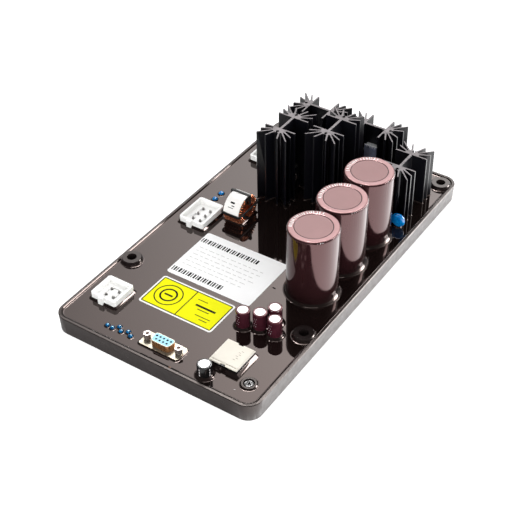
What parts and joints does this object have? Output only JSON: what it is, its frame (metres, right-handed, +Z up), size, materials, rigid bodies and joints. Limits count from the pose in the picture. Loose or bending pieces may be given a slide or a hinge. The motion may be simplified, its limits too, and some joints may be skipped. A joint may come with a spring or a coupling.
{
  "type": "automatic voltage regulator",
  "caption": "Potted automatic voltage regulator for a generator: shallow tray with corner mounting posts, star-finned heat sinks, large capacitors, plug headers and a serial port.",
  "frame": {"origin": "centre of the tray's underside", "axes": "+X across the tray towards the large capacitors, +Y along it away from the serial port, +Z up out of the resin"},
  "size_m": [0.16, 0.281, 0.0711],
  "materials": {
    "tray_plastic": "fine moulded grain, black",
    "resin": "cast gloss, near black, mirror-like",
    "board_laminate": "green solder mask, under the resin",
    "sink_black": "black anodised extrusion with bare sawn ends",
    "device_plastic": "moulded epoxy, black",
    "plain_steel": "zinc-plated steel",
    "spring_steel": "blued spring steel",
    "can_metal": "drawn aluminium",
    "brown_sleeve": "glossy shrink film, mauve brown",
    "brown_disc": "satin disc, mauve brown",
    "maroon_sleeve": "glossy shrink film, dark maroon",
    "black_sleeve": "glossy shrink film, black",
    "port_plating": "warm bright tin plating",
    "port_blue": "moulded thermoplastic, light blue",
    "contact_metal": "gold-flashed brass",
    "nylon_white": "natural white nylon",
    "tinned": "tinned brass",
    "ferrite": "coated ferrite",
    "copper": "enamelled copper wire",
    "tape_white": "white polyester tape",
    "strap_black": "black nylon strap",
    "module_black": "moulded body, black",
    "cover_cream": "moulded cover, cream",
    "dip_blue": "glossy dipped coating, blue",
    "label_white": "coated label stock, white",
    "label_yellow": "coated label stock, yellow with a white edge"
  },
  "bodies": {
    "root": {"bead_capacitors": "dip_blue", "black_capacitor_can": "can_metal", "black_capacitor_sleeve": "black_sleeve", "blue_disc": "dip_blue", "bulk_capacitor_can_1": "can_metal", "bulk_capacitor_can_2": "can_metal", "bulk_capacitor_can_3": "can_metal", "bulk_capacitor_disc_1": "brown_disc", "bulk_capacitor_disc_2": "brown_disc", "bulk_capacitor_disc_3": "brown_disc", "bulk_capacitor_sleeve_1": "brown_sleeve", "bulk_capacitor_sleeve_2": "brown_sleeve", "bulk_capacitor_sleeve_3": "brown_sleeve", "button_capacitors": "dip_blue", "choke_core": "ferrite", "choke_strap": "strap_black", "choke_tape": "tape_white", "choke_winding": "copper", "circuit_board": "board_laminate", "data_label": "label_white", "device_clip": "spring_steel", "device_screws": "plain_steel", "field_label": "label_yellow", "header_4way_housing": "nylon_white", "header_4way_pins": "tinned", "header_6way_housing": "nylon_white", "header_6way_pins": "tinned", "header_rear_housing": "nylon_white", "header_rear_pins": "tinned", "heat_sink_1": "sink_black", "heat_sink_2": "sink_black", "heat_sink_3": "sink_black", "heat_sink_4": "sink_black", "heat_sink_5": "sink_black", "module_body": "module_black", "module_cover": "cover_cream", "potting": "resin", "power_device_1": "device_plastic", "power_device_2": "device_plastic", "power_device_3": "device_plastic", "power_device_4": "device_plastic", "power_device_5": "device_plastic", "serial_port_contacts": "contact_metal", "serial_port_insert": "port_blue", "serial_port_locks": "plain_steel", "serial_port_shell": "port_plating", "small_capacitor_can_1": "can_metal", "small_capacitor_can_2": "can_metal", "small_capacitor_can_3": "can_metal", "small_capacitor_can_4": "can_metal", "small_capacitor_sleeve_1": "maroon_sleeve", "small_capacitor_sleeve_2": "maroon_sleeve", "small_capacitor_sleeve_3": "maroon_sleeve", "small_capacitor_sleeve_4": "maroon_sleeve", "tray": "tray_plastic", "tray_screw": "plain_steel"}
  },
  "joints": []
}
